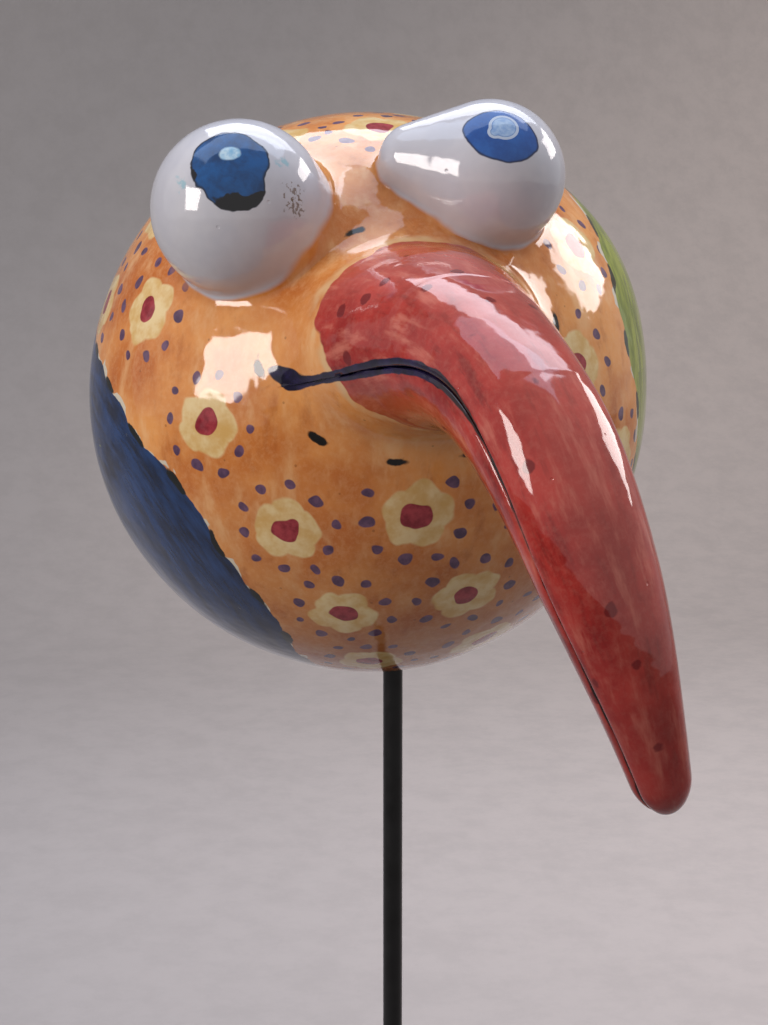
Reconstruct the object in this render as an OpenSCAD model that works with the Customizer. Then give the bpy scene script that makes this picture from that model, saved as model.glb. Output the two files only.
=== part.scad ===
// Glazed ceramic bird's head on a thin steel rod, for a pot or a flower bed.
// Row frame: the rod stands on the Z axis, the soil line is at zero and the face looks along -Y.
// The clay pieces are set out from the ball centre, in the head's own frame.

/* [Rod] */
// Diameter of the rod over its black coating
rod_d = 6; // [5:0.5:8]
// Length of the rod from its ground point to its top end
rod_length = 600; // [450:10:900]
// Depth to which the rod is pushed into the soil
soil_depth = 150; // [100:10:200]
// Length of the ground point
point_length = 14; // [8:1:24]
// Width of the blunt end of the ground point
point_flat = 1.2; // [0.6:0.2:2]
// Thickness of the coating, which stops at the end cap
coat = 0.2; // [0.1:0.05:0.4]

/* [End cap] */
// Length of bare rod inside the rubber cap
cap_grip = 14; // [8:1:20]
// Thickness of rubber over the rod's top end
cap_top = 2; // [1:0.5:4]
// Thickness of the cap's side wall
cap_wall = 1.3; // [0.8:0.1:2]
// Running clearance of the cap round the bare rod
cap_clearance = 0.05; // [0.02:0.01:0.1]

/* [Socket] */
// Length of the rod that stands inside the ball
socket_depth = 78; // [50:1:100]
// Clearance of the socket round the cap
socket_clearance = 0.1; // [0.05:0.05:0.4]
// Thickness of the socket tube's wall
socket_wall = 4; // [3:0.5:6]
// Thickness of the socket tube's closed end
socket_end = 5; // [3:0.5:8]
// Chamfer round the hole under the ball
mouth_chamfer = 1; // [0.5:0.5:2]

/* [Ball] */
// Outside diameter of the ball
ball_d = 170; // [150:2:200]
// Thickness of the ball's wall
ball_wall = 6; // [4:0.5:8]
// Ball centre to the side of the rod
ball_side = 5; // [0:1:10]
// Ball centre behind the rod
ball_back = 12; // [0:1:20]
// Depth of the joint between the two bowls below the ball centre
seam_drop = 16; // [10:1:30]
// Lean of the head to its side, in degrees
head_lean_angle = 8; // [0:1:12]

/* [Eyes] */
// Diameter of the large eye
large_eye_d = 49; // [44:1:52]
// Diameter of the small eye
small_eye_d = 42; // [38:1:45]
// Thickness of the eye domes
eye_wall = 4; // [3:0.5:6]
// Height of each eye's centre above the ball's surface
eye_out = 6; // [3:0.5:8]
// Angle of the large eye from the face's middle, in degrees
large_eye_turn_angle = 38; // [36:1:44]
// Angle of the small eye from the face's middle, in degrees
small_eye_turn_angle = 29; // [28:1:36]
// Angle of the large eye above the ball's middle, in degrees
large_eye_rise_angle = 46; // [44:0.5:52]
// Angle of the small eye above the ball's middle, in degrees
small_eye_rise_angle = 45; // [44:0.5:52]
// Radius of the hollow fillet where each eye is luted on
eye_fillet = 4; // [2:0.5:5]
// Reach of the small eye's smeared foot from the eye's centre
foot_reach = 27; // [22:1:29]
// Diameter of the smeared foot's round end
foot_d = 20; // [14:1:22]
// Direction of the smeared foot, in degrees round the eye
foot_angle = 145; // [100:5:170]
// Diameter of the firing vents under the hollow pieces
vent_d = 5; // [3:0.5:8]

/* [Beak] */
// Distance of the beak's tip in front of the ball
beak_out = 89; // [70:1:110]
// Drop of the beak's tip below the ball centre
beak_drop = 84; // [50:2:90]
// Swing of the beak's tip to the side
beak_swing = 23; // [0:1:30]
// Width of the beak where it leaves the ball
beak_w = 64; // [56:1:70]
// Height of the beak where it leaves the ball
beak_h = 53; // [46:1:58]
// Roll of the beak about its own spine at mid length, in degrees
beak_roll_angle = 24; // [0:1:32]
// Radius of the beak's round tip along its length
beak_tip = 8; // [5:0.5:12]
// Thickness of clay round the upper beak's hollow
beak_wall = 8; // [6:0.5:10]
// Gap of the mouth between the two beaks
mouth_gap = 0.2; // [0.1:0.05:0.5]

/* [Hidden] */

// Overrun of every cut
cut = 1;
// Width of the smeared foot's cone against one that would just touch the dome
foot_fit_share = 0.99;

rod_r = rod_d / 2;
rod_top = rod_length - soil_depth;
bare_r = rod_r - coat;
coat_top = rod_top - cap_grip;
cap_bore = bare_r + cap_clearance;
cap_r = cap_bore + cap_wall;
socket_r = cap_r + socket_clearance;
tube_r = socket_r + socket_wall;
socket_top = rod_top + cap_top;
ball_r = ball_d / 2;
inner_r = ball_r - ball_wall;
rod_offset = norm([ball_side, ball_back]);
ball_z = socket_top - socket_depth + sqrt(ball_r * ball_r - rod_offset * rod_offset);

// Start of the beak's spine inside the ball, as shares of the ball's radius
spine_root_shares = [-0.014, -0.696, 0.247];
// Handles of the spine, as shares of the way from its start to the tip: to the side, forward and down
spine_side_shares = [0, 0.205, 0.42, 1];
spine_reach_shares = [0, 0.74, 1.077, 1];
spine_drop_shares = [0, -0.195, 0.155, 1];
// Width and height of the beak at equal steps along the spine
beak_w_shares = [1.2, 1.01, 0.79, 0.64, 0.57, 0.55, 0.535, 0.51, 0.43, 0.31, 0.2];
beak_h_shares = [1.1, 0.97, 0.83, 0.73, 0.67, 0.64, 0.6, 0.55, 0.48, 0.39, 0.27];
// Depth of the mouth below the spine, as a share of half the beak's height
mouth_shares = [0.19, 0.29, 0.31, 0.17, 0.01, 0, 0.04, 0.08, 0.06, 0.02, 0];
// Roll of the beak's sections along the spine, against its largest roll
roll_shares = [0, 0.2, 0.5, 0.8, 0.95, 1, 1, 0.95, 0.9, 0.85, 0.8];
// Width of the lower beak against the upper one
lower_width_share = 0.94;
// Rings of points along the whole beak, the lower beak and the upper beak's hollow
beak_rings = 34;
lower_rings = 33;
hollow_rings = 20;
dome_rings = 7;
upper_sides = 26;
lower_sides = 14;

function unit(v) = v / norm(v);
function blend4(p, t) = pow(1 - t, 3) * p[0] + 3 * pow(1 - t, 2) * t * p[1]
    + 3 * (1 - t) * t * t * p[2] + pow(t, 3) * p[3];
function slope4(p, t) = pow(1 - t, 2) * (p[1] - p[0]) + 2 * (1 - t) * t * (p[2] - p[1])
    + t * t * (p[3] - p[2]);
spine_root = ball_r * spine_root_shares;
spine_tip = [beak_swing, -ball_r - beak_out, -beak_drop];
spine_handles = [for (i = [0:3])
    let (shares = [spine_side_shares[i], spine_reach_shares[i], spine_drop_shares[i]])
    [for (axis = [0:2]) spine_root[axis] + (spine_tip - spine_root)[axis] * shares[axis]]];

// Smooth reading of a table of shares at t from 0 to 1
function at_share(table, t) =
    let (last = len(table) - 1,
         x = min(max(t, 0), 1) * last,
         i = min(floor(x), last - 1),
         f = x - i,
         p0 = table[max(i - 1, 0)],
         p1 = table[i],
         p2 = table[i + 1],
         p3 = table[min(i + 2, last)])
    p1 + f * (p2 - p0) / 2
        + f * f * (p0 - 2.5 * p1 + 2 * p2 - p3 / 2)
        + f * f * f * (1.5 * p1 - 1.5 * p2 + (p3 - p0) / 2);

// A point of the beak's section at t: across and up are shares of half the width and height
function beak_point(t, across, up, size) =
    let (ahead = unit(slope4(spine_handles, t)),
         level = unit([1, 0, 0] - ahead[0] * ahead),
         roll = beak_roll_angle * at_share(roll_shares, t),
         side = level * cos(roll) - cross(ahead, level) * sin(roll),
         top = cross(ahead, side))
    blend4(spine_handles, t)
        + side * across * size * beak_w * at_share(beak_w_shares, t) / 2
        + top * up * size * beak_h * at_share(beak_h_shares, t) / 2;

// Steps along the spine to the end, closing as a round dome of the tip's length
spine_length = norm(spine_handles[1] - spine_handles[0]) + norm(spine_handles[2] - spine_handles[1])
    + norm(spine_handles[3] - spine_handles[2]);
dome = beak_tip / spine_length;
ring_step = (1 - dome) / beak_rings;
function end_of(rings) = rings * ring_step + dome;
function ring_places(rings) = concat(
    [for (i = [0:rings]) [i * ring_step, 1]],
    [for (i = [1:dome_rings - 1])
        let (a = 90 * i / dome_rings) [rings * ring_step + dome * sin(a), cos(a)]]);

// Closed skin over rings of points, with a point at the far end.
// The last side of each ring is the mouth, whose triangles lie the same way on both beaks.
module loft(rings, far_point, upper) {
    n = len(rings[0]);
    m = len(rings);
    points = concat([for (ring = rings) each ring], [far_point]);
    near_face = [[for (k = [0:n - 1]) k]];
    sides = [for (j = [0:m - 2], k = [0:n - 1])
        let (a = j * n + k, b = j * n + (k + 1) % n)
        each (upper || k < n - 1) ? [[a, a + n, b + n], [a, b + n, b]]
                                  : [[a, a + n, b], [a + n, b + n, b]]];
    far_faces = [for (k = [0:n - 1]) [(m - 1) * n + k, m * n, (m - 1) * n + (k + 1) % n]];
    polyhedron(points = points, faces = concat(near_face, sides, far_faces), convexity = 6);
}

module in_head() {
    translate([-ball_side, ball_back, ball_z]) rotate([0, -head_lean_angle, 0]) children();
}

// Places a piece with its own Z axis straight out of the ball, turned to the side and raised
module out_of_ball(turn, rise) {
    rotate([0, 0, turn]) rotate([90 - rise, 0, 0]) children();
}

module rod() {
    color("#17171a")
        rotate_extrude($fn = 64)
            polygon([[0, -soil_depth], [point_flat / 2, -soil_depth],
                     [rod_r, point_length - soil_depth], [rod_r, coat_top],
                     [bare_r, coat_top], [bare_r, rod_top], [0, rod_top]]);
}

module rod_cap() {
    color("#2b2b2e")
        rotate_extrude($fn = 64)
            polygon([[cap_bore, coat_top + cap_clearance], [cap_r, coat_top + cap_clearance],
                     [cap_r, socket_top], [0, socket_top], [0, rod_top], [cap_bore, rod_top]]);
}

module socket_tube() {
    color("#c9702a")
        intersection() {
            difference() {
                translate([0, 0, socket_top - 2 * socket_depth])
                    cylinder(r = tube_r, h = 2 * socket_depth + socket_end, $fn = 64);
                translate([0, 0, socket_top - 2 * socket_depth - cut])
                    cylinder(r = socket_r, h = 2 * socket_depth + cut, $fn = 64);
                mouth_flare();
            }
            in_head() sphere(r = ball_r, $fn = 128);
        }
}

// Cone that breaks the sharp edge of the socket's mouth
module mouth_flare() {
    flare = mouth_chamfer + cut;
    translate([0, 0, socket_top - socket_depth - cut])
        cylinder(r1 = socket_r + flare, r2 = socket_r, h = flare, $fn = 64);
}

module ball_shell() {
    difference() {
        sphere(r = ball_r, $fn = 128);
        sphere(r = inner_r, $fn = 128);
    }
}

module lower_bowl() {
    color("#c9742c")
        difference() {
            in_head() {
                intersection() {
                    ball_shell();
                    translate([-ball_r - cut, -ball_r - cut, -ball_r - cut])
                        cube([ball_d + 2 * cut, ball_d + 2 * cut, ball_r + cut - seam_drop]);
                }
            }
            translate([0, 0, socket_top - 2 * socket_depth])
                cylinder(r = tube_r, h = 2 * socket_depth, $fn = 64);
        }
}

module upper_bowl() {
    color("#d98a3a")
        in_head()
            difference() {
                intersection() {
                    ball_shell();
                    translate([-ball_r - cut, -ball_r - cut, -seam_drop])
                        cube([ball_d + 2 * cut, ball_d + 2 * cut, ball_r + seam_drop + cut]);
                }
                out_of_ball(-large_eye_turn_angle, large_eye_rise_angle) vent();
                out_of_ball(small_eye_turn_angle, small_eye_rise_angle) vent();
                out_of_ball(0, beak_vent_rise) vent();
            }
}

// Rise of the vent behind the beak: straight through the middle of its root
beak_vent_rise = atan2(spine_root[2], -spine_root[1]);

module vent() {
    translate([0, 0, inner_r - cut]) cylinder(d = vent_d, h = ball_wall + 2 * cut, $fn = 32);
}

// Dome on the ball, with a rolled fillet round its foot that touches both
module eye_outside(eye_d) {
    eye_r = eye_d / 2;
    far = ball_r + eye_out;
    // Centre of the fillet's arc, one fillet radius from both surfaces
    arc_up = (pow(ball_r + eye_fillet, 2) - pow(eye_r + eye_fillet, 2) - far * far) / (2 * far);
    arc_out = sqrt(pow(eye_r + eye_fillet, 2) - arc_up * arc_up);
    first = 180 + atan2(arc_up, arc_out);
    last = 270 - atan2(arc_out, arc_up + far);
    steps = 6;
    sphere(r = eye_r, $fn = 96);
    rotate_extrude($fn = 96)
        polygon(concat(
            [for (i = [0:steps - 1])
                let (a = first + (last - first) * i / steps)
                [arc_out + eye_fillet * cos(a), arc_up + eye_fillet * sin(a)]],
            [[arc_out, -far / 2], [eye_r - eye_wall, -far / 2], [eye_r - eye_wall, arc_up]]));
}

// The dome hollowed out and seated on the ball
module eye(eye_d) {
    difference() {
        union() {
            eye_outside(eye_d);
            children();
        }
        sphere(r = eye_d / 2 - eye_wall, $fn = 96);
        translate([0, 0, -ball_r - eye_out]) sphere(r = ball_r, $fn = 128);
    }
}

// Clay smeared from the eye down onto the ball: a cone from the dome to a small round end
module foot(eye_r) {
    end_r = foot_d / 2;
    drop = ball_r + eye_out - sqrt(ball_r * ball_r - foot_reach * foot_reach) + end_r / 2;
    far = norm([foot_reach, drop]);
    narrowing = asin((eye_r - end_r) / far);
    rotate([0, 0, foot_angle]) rotate([0, 90 + atan2(drop, foot_reach), 0]) {
        translate([0, 0, eye_r * sin(narrowing)])
            cylinder(r1 = eye_r * cos(narrowing) * foot_fit_share,
                     r2 = end_r * cos(narrowing) * foot_fit_share,
                     h = far - (eye_r - end_r) * sin(narrowing), $fn = 96);
        translate([0, 0, far]) sphere(r = end_r, $fn = 64);
    }
}

module at_large_eye() {
    out_of_ball(-large_eye_turn_angle, large_eye_rise_angle) translate([0, 0, ball_r + eye_out]) children();
}

module at_small_eye() {
    out_of_ball(small_eye_turn_angle, small_eye_rise_angle) translate([0, 0, ball_r + eye_out]) children();
}

module large_eye() {
    color("#c9ccd0") in_head() at_large_eye() eye(large_eye_d);
}

module small_eye() {
    color("#c9ccd0") in_head() at_small_eye() eye(small_eye_d) foot(small_eye_d / 2);
}

// Angle below the section's middle at which the mouth meets the beak's side
function mouth_angle(t) = asin(at_share(mouth_shares, t));

module upper_loft(size, rings) {
    loft([for (place = ring_places(rings))
            [for (k = [0:upper_sides - 1])
                let (m = mouth_angle(place[0]),
                     a = -m + (180 + 2 * m) * k / (upper_sides - 1))
                beak_point(place[0], cos(a), sin(a), size * place[1])]],
        beak_point(end_of(rings), 0, 0, 0), true);
}

module upper_beak() {
    color("#a8322c")
        in_head()
            difference() {
                upper_loft(1, beak_rings);
                upper_loft(1 - 2 * beak_wall / (beak_h * beak_h_shares[3]), hollow_rings);
                sphere(r = ball_r, $fn = 128);
            }
}

module lower_beak() {
    gap = 2 * mouth_gap / (beak_h * beak_h_shares[3]);
    far = end_of(lower_rings);
    color("#8e2a2a")
        in_head()
            difference() {
                loft([for (place = ring_places(lower_rings))
                        [for (k = [0:lower_sides - 1])
                            let (m = mouth_angle(place[0]),
                                 a = 180 + m + (180 - 2 * m) * k / (lower_sides - 1))
                            beak_point(place[0], cos(a) * lower_width_share * place[1],
                                       (sin(a) + sin(m)) * place[1] - sin(m) - gap, 1)]],
                    beak_point(far, 0, -at_share(mouth_shares, far) - gap, 1), false);
                sphere(r = ball_r, $fn = 128);
            }
}

rod();
rod_cap();
socket_tube();
lower_bowl();
upper_bowl();
large_eye();
small_eye();
lower_beak();
upper_beak();
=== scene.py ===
# %% [markdown]
# # A glazed ceramic bird's head on a steel rod
# The real object is a hollow clay ball with two bulging eyes and a long drooping beak, built by hand, glazed
# and fired, on a thin black steel rod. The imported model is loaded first, because every piece made here has
# to sit where it says. Lengths are written in millimetres, and `MM` turns them into Blender's metres.

# %% Load the frame
import math

import bpy
import numpy as np
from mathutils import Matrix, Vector


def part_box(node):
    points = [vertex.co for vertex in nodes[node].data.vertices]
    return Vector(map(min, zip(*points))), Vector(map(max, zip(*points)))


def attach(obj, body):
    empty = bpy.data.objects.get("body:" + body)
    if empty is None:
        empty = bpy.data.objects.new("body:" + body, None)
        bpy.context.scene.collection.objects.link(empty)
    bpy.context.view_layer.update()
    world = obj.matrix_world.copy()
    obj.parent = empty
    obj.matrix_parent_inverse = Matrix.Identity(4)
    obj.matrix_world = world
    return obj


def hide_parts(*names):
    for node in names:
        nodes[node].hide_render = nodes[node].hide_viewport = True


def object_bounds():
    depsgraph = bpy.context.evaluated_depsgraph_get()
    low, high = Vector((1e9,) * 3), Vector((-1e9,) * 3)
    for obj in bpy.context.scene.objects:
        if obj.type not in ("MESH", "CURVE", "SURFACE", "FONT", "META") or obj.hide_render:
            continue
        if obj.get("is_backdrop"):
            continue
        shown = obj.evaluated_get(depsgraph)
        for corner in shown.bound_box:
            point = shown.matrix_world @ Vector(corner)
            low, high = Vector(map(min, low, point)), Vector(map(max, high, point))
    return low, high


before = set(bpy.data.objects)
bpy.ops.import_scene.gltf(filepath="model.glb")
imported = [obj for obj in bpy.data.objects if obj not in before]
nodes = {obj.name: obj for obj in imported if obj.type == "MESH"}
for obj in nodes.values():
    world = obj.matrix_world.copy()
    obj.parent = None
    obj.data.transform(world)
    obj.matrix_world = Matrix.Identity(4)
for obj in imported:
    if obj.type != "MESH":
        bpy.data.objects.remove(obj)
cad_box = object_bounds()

MM = 0.001
print("loaded", len(nodes), "pieces of the frame:", ", ".join(sorted(nodes)))

# %% [markdown]
# ## The camera
# The photograph was taken from a little above the ball's middle, 13 degrees to its left and 0.7 m away.
# What counts is the angle of view, which is 25 degrees from top to bottom: it sets how much larger the beak's
# near end looks than the eyes.

# %% Camera
CAMERA_PLACE = Vector((-160.9, -663.4, 555.4)) * MM
CAMERA_TILT, CAMERA_HEADING = 79.012, -13.404
LONG_SIDE, LENS = 24.0, 53.615

camera_data = bpy.data.cameras.new("portrait_lens")
camera_data.sensor_width = LONG_SIDE
camera_data.lens = LENS
camera = bpy.data.objects.new("camera", camera_data)
camera.location = CAMERA_PLACE
camera.rotation_euler = (math.radians(CAMERA_TILT), 0, math.radians(CAMERA_HEADING))
bpy.context.scene.collection.objects.link(camera)
bpy.context.scene.camera = camera
print("camera", round((CAMERA_PLACE - Vector((0, 0, 0.45))).length, 3), "m from the ball")

# %% [markdown]
# ## The head's own frame
# The head's pieces are laid out from the ball's centre, with the face looking along -Y and the head upright.
# Only the finished head leans 8 degrees on its rod. Working upright keeps every angle a plain number.
# The ball's size and place are read from the two bowls of the frame.

# %% The ball in the frame
BOWLS = ("lower_bowl", "upper_bowl")
corners = [np.array(corner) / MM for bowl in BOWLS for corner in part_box(bowl)]
lowest, highest = np.min(corners, 0), np.max(corners, 0)
BALL_R = round((highest[0] - lowest[0]) / 2)
BALL_CENTRE = np.array([*(highest[:2] + lowest[:2]) / 2, highest[2] - BALL_R])
HEAD_LEAN = 8


def leaned(points, degrees):
    """Points turned about the line through the ball's centre from front to back."""
    c, s = math.cos(math.radians(degrees)), math.sin(math.radians(degrees))
    x, y, z = points[..., 0], points[..., 1], points[..., 2]
    return np.stack([x * c + z * s, y, z * c - x * s], -1)


def to_head(places):
    """Metres in the row frame to millimetres in the head's frame."""
    return leaned(places / MM - BALL_CENTRE, HEAD_LEAN)


def from_head(points):
    """Millimetres in the head's frame to metres in the row frame."""
    return (leaned(points, -HEAD_LEAN) + BALL_CENTRE) * MM


def direction(turn, rise):
    """The unit vector out of the ball at a turn to the side and a rise, in degrees."""
    t, r = math.radians(turn), math.radians(rise)
    return np.array([math.sin(t) * math.cos(r), -math.cos(t) * math.cos(r), math.sin(r)])


def across_and_up(turn, rise):
    """The directions along the ball's surface there, to the right and upwards for someone facing it."""
    t, r = math.radians(turn), math.radians(rise)
    up = np.array([-math.sin(t) * math.sin(r), math.cos(t) * math.sin(r), math.cos(r)])
    return np.array([math.cos(t), math.sin(t), 0]), up


ROD_HOLE = to_head(np.array([0, 0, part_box("socket_tube")[0].z]))
ROD_HOLE = ROD_HOLE / np.linalg.norm(ROD_HOLE)
print("ball of radius", BALL_R, "mm at", BALL_CENTRE.round(1))

# %% [markdown]
# ## Clay as a height above the surface
# Luted clay joints are smoothed with a wet finger, so one form flows into the next. Booleans would give a
# hard line there, and a voxel remesh would blur everything. Here each form is a function that says how high
# a point lies above its surface, and `melted` joins two of them with a fillet. The vertices of ordinary
# primitives are then pushed onto that surface.
# The ball was shaped by hand, so its radius wanders by half a millimetre and it has a fuller shoulder.

# %% Height of the ball
SHOULDER = direction(80, 24)
SHOULDER_OUT, SHOULDER_WIDTH = 2.4, 14
HAND_WAVE = 0.45
HOLE_EDGE_ANGLES = (8, 24)


def step_between(x, low, high):
    """0 below low, 1 above high and a smooth step between them."""
    t = np.clip((x - low) / (high - low), 0, 1)
    return t * t * (3 - 2 * t)


def length_of(v):
    return np.linalg.norm(v, axis=-1)


def angle_between(unit_points, axis):
    return np.degrees(np.arccos(np.clip(unit_points @ axis, -1, 1)))


def melted(a, b, width):
    """The lower of two heights, with a fillet where they are within a width of each other."""
    near = np.maximum(width - np.abs(a - b), 0) / width
    return np.minimum(a, b) - near ** 3 * width / 6


def ball_radius(n):
    """The ball's radius along unit vectors."""
    x, y, z = n[..., 0], n[..., 1], n[..., 2]
    wave = np.sin(3.4 * x + 2.3 * z + 0.6) * np.sin(2.9 * y - 2.1 * z + 2.1)
    wave = wave + 0.5 * np.sin(6.3 * x - 4.1 * y + 0.4) * np.sin(5.2 * z + 3.3 * y + 1.2)
    calm = step_between(angle_between(n, ROD_HOLE), *HOLE_EDGE_ANGLES)
    bump = SHOULDER_OUT * np.exp(-0.5 * (angle_between(n, SHOULDER) / SHOULDER_WIDTH) ** 2)
    return BALL_R + calm * HAND_WAVE * (wave / 1.5 - 1) + bump


def ball_height(p):
    away = length_of(p)
    return away - ball_radius(p / away[..., None])


# %% [markdown]
# The eyes are hollow domes. Each centre lies 6 mm above the ball, so a little more than half of each sphere
# shows. The joint of the large eye is crisp at its outer side and wiped smooth towards the forehead. The
# small eye was pulled to its left while soft, which left a blunt foot of clay. A cone with a sphere at each
# end describes that foot.

# %% Heights of the eyes
EYE_OUT = 6
EYES = {
    "large_eye": {"turn": -38, "rise": 46, "r": 24.5, "wiped_to": 10, "narrow": 4.5, "wide": 14},
    "small_eye": {"turn": 29, "rise": 45, "r": 21.0, "wiped_to": 190, "narrow": 5.0, "wide": 8},
}
WIPED_SIDE = (-0.35, 0.9)
FOOT_REACH, FOOT_ANGLE, FOOT_R, FOOT_OUT = 20.5, 136, 10.5, 4


def cone_height(p, start, end, start_r, end_r):
    """Height above a cone with a sphere at each end."""
    axis = end - start
    reach = length_of(axis)
    along = (p - start) @ axis / reach
    off = np.sqrt(np.maximum(length_of(p - start) ** 2 - along ** 2, 0))
    s = (start_r - end_r) / reach
    c = math.sqrt(1 - s * s)
    side = along * c - off * s
    by_start = np.hypot(off, along) - start_r
    by_end = np.hypot(off, along - reach) - end_r
    between = np.where(side > c * reach, by_end, off * c + along * s - start_r)
    return np.where(side < 0, by_start, between)


def eye_frame(eye):
    """An eye's centre and its right, up and outward directions."""
    right, up = across_and_up(eye["turn"], eye["rise"])
    out = direction(eye["turn"], eye["rise"])
    return out * (BALL_R + EYE_OUT), right, up, out


def eye_height(p, name):
    """Height above one eye's own clay, without the ball."""
    eye = EYES[name]
    centre, right, up, out = eye_frame(eye)
    dome = length_of(p - centre) - eye["r"]
    if name == "large_eye":
        return dome
    a = math.radians(FOOT_ANGLE)
    drop = BALL_R + EYE_OUT - math.sqrt(BALL_R ** 2 - FOOT_REACH ** 2) - FOOT_OUT
    tip = centre + FOOT_REACH * (math.cos(a) * right + math.sin(a) * up) - drop * out
    return np.minimum(dome, cone_height(p, centre, tip, eye["r"], FOOT_R))


def eye_with_ball(p, name):
    """Height above the ball and one eye, melted together more widely on the wiped side."""
    eye = EYES[name]
    centre, right, up, _ = eye_frame(eye)
    x, y = (p - centre) @ right, (p - centre) @ up
    a = math.radians(eye["wiped_to"])
    towards = (x * math.cos(a) + y * math.sin(a)) / (np.hypot(x, y) + 1)
    width = eye["narrow"] + (eye["wide"] - eye["narrow"]) * step_between(towards, *WIPED_SIDE)
    return melted(ball_height(p), eye_height(p, name), width)


for name, eye in EYES.items():
    print(name, "reaches", EYE_OUT + eye["r"], "mm out of the ball")

# %% [markdown]
# ## The beak's spine
# The beak was rolled out like a carrot, bent over while soft and luted on. Its centre line is a Bezier curve
# with four handles, and its width and height are read from tables of shares at eleven even steps. A curve
# object with a bevel would be round all along and have no mouth, so the sections are worked out here. The
# curve through each table has no jump in its bend, which a shiny glaze would show as a kink.

# %% The beak's spine and sections
BEAK_OUT, BEAK_DROP, BEAK_SWING = 89, 84, 23
BEAK_W, BEAK_H, BEAK_ROLL, BEAK_TIP = 64, 53, 24, 8
ROOT_SHARES = np.array([-0.014, -0.696, 0.247])
HANDLE_SHARES = np.array([[0, 0, 0], [0.205, 0.74, -0.195], [0.42, 1.077, 0.155], [1, 1, 1]])
WIDTH_SHARES = (1.2, 1.01, 0.79, 0.64, 0.57, 0.55, 0.535, 0.51, 0.43, 0.31, 0.2)
HEIGHT_SHARES = (1.1, 0.97, 0.83, 0.73, 0.67, 0.64, 0.6, 0.55, 0.48, 0.39, 0.27)
MOUTH_SHARES = (0.19, 0.29, 0.31, 0.17, 0.01, 0, 0.04, 0.08, 0.06, 0.02, 0)
ROLL_SHARES = (0, 0.2, 0.5, 0.8, 0.95, 1, 1, 0.95, 0.9, 0.85, 0.8)

spine_root = BALL_R * ROOT_SHARES
spine_tip = np.array([BEAK_SWING, -BALL_R - BEAK_OUT, -BEAK_DROP])
HANDLES = spine_root + (spine_tip - spine_root) * HANDLE_SHARES
SPINE_REACH = sum(length_of(HANDLES[i + 1] - HANDLES[i]) for i in range(3))
DOME = BEAK_TIP / SPINE_REACH


def at_share(table, t):
    """A table read at t from 0 to 1 along a natural cubic spline."""
    table = np.array(table)
    inner = len(table) - 2
    system = 4 * np.eye(inner) + np.eye(inner, k=1) + np.eye(inner, k=-1)
    bends = np.zeros(len(table))
    bends[1:-1] = np.linalg.solve(system, 6 * (table[2:] - 2 * table[1:-1] + table[:-2]))
    x = np.clip(t, 0, 1) * (len(table) - 1)
    i = np.minimum(x.astype(int), len(table) - 2)
    f, g = x - i, 1 - x + i
    line = g * table[i] + f * table[i + 1]
    return line + ((g ** 3 - g) * bends[i] + (f ** 3 - f) * bends[i + 1]) / 6


def spine(t):
    """Places of the centre line at t from 0 to 1."""
    t = t[..., None]
    h = HANDLES
    outer = (1 - t) ** 3 * h[0] + 3 * (1 - t) ** 2 * t * h[1]
    return outer + 3 * (1 - t) * t * t * h[2] + t ** 3 * h[3]


def slope(t):
    """How far the centre line runs on for each step of t."""
    t = t[..., None]
    first, second, third = np.diff(HANDLES, axis=0)
    return 3 * ((1 - t) ** 2 * first + 2 * (1 - t) * t * second + t * t * third)


def section(t):
    """The side and top directions and half the width and height of the beak's sections."""
    ahead = slope(t)
    ahead = ahead / length_of(ahead)[..., None]
    level = np.array([1.0, 0, 0]) - ahead[..., :1] * ahead
    level = level / length_of(level)[..., None]
    roll = np.radians(BEAK_ROLL * at_share(ROLL_SHARES, t))[..., None]
    side = level * np.cos(roll) - np.cross(ahead, level) * np.sin(roll)
    shrink = np.sqrt(np.clip(1 - np.clip((t - 1 + DOME) / DOME, 0, 1) ** 2, 1e-6, 1))
    half_w = BEAK_W * at_share(WIDTH_SHARES, t) / 2 * shrink
    half_h = BEAK_H * at_share(HEIGHT_SHARES, t) / 2 * shrink
    return side, np.cross(ahead, side), half_w, half_h


spine_steps = np.diff(spine(np.linspace(0, 1, 60)), axis=0)
print("beak", round(float(length_of(spine_steps).sum())), "mm along its spine")

# %% [markdown]
# Any point near the beak can be unbent: how far along the spine it is, how far to the side and how far up.
# That gives the height above the beak, and later it gives the brush strokes their lengthwise run. The
# nearest of some samples of the spine is found, and Newton's method makes it exact.
# The beak's top was patted flatter between the root and the tip, so its sections are squarer there.

# %% Unbending a point of the beak
SPINE_STEPS = np.linspace(-0.02, 1, 60)
STEP_PLACES = spine(SPINE_STEPS)
CHUNK = 20000
SPINE_ENDS = (-0.15, 1.02)
BEAK_START = -20.0
FLAT_TOP, FLAT_SHRINK, FLAT_SIDE = 0.8, 0.035, (-0.1, 0.35)
FLAT_STARTS, FLAT_ENDS = (0.14, 0.34), (0.5, 0.72)


def unbend(p):
    """t along the spine, the distances to the side and up from it, and the section's half sizes."""
    t = np.empty(len(p))
    for first in range(0, len(p), CHUNK):
        part = p[first:first + CHUNK]
        gaps = (STEP_PLACES ** 2).sum(1) - 2 * part @ STEP_PLACES.T
        t[first:first + CHUNK] = SPINE_STEPS[gaps.argmin(1)]
    for _ in range(2):
        ahead = slope(t)
        t = np.clip(t + ((p - spine(t)) * ahead).sum(-1) / (ahead ** 2).sum(-1), *SPINE_ENDS)
    side, top, half_w, half_h = section(t)
    off = p - spine(t)
    return t, (off * side).sum(-1), (off * top).sum(-1), half_w, half_h


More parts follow.
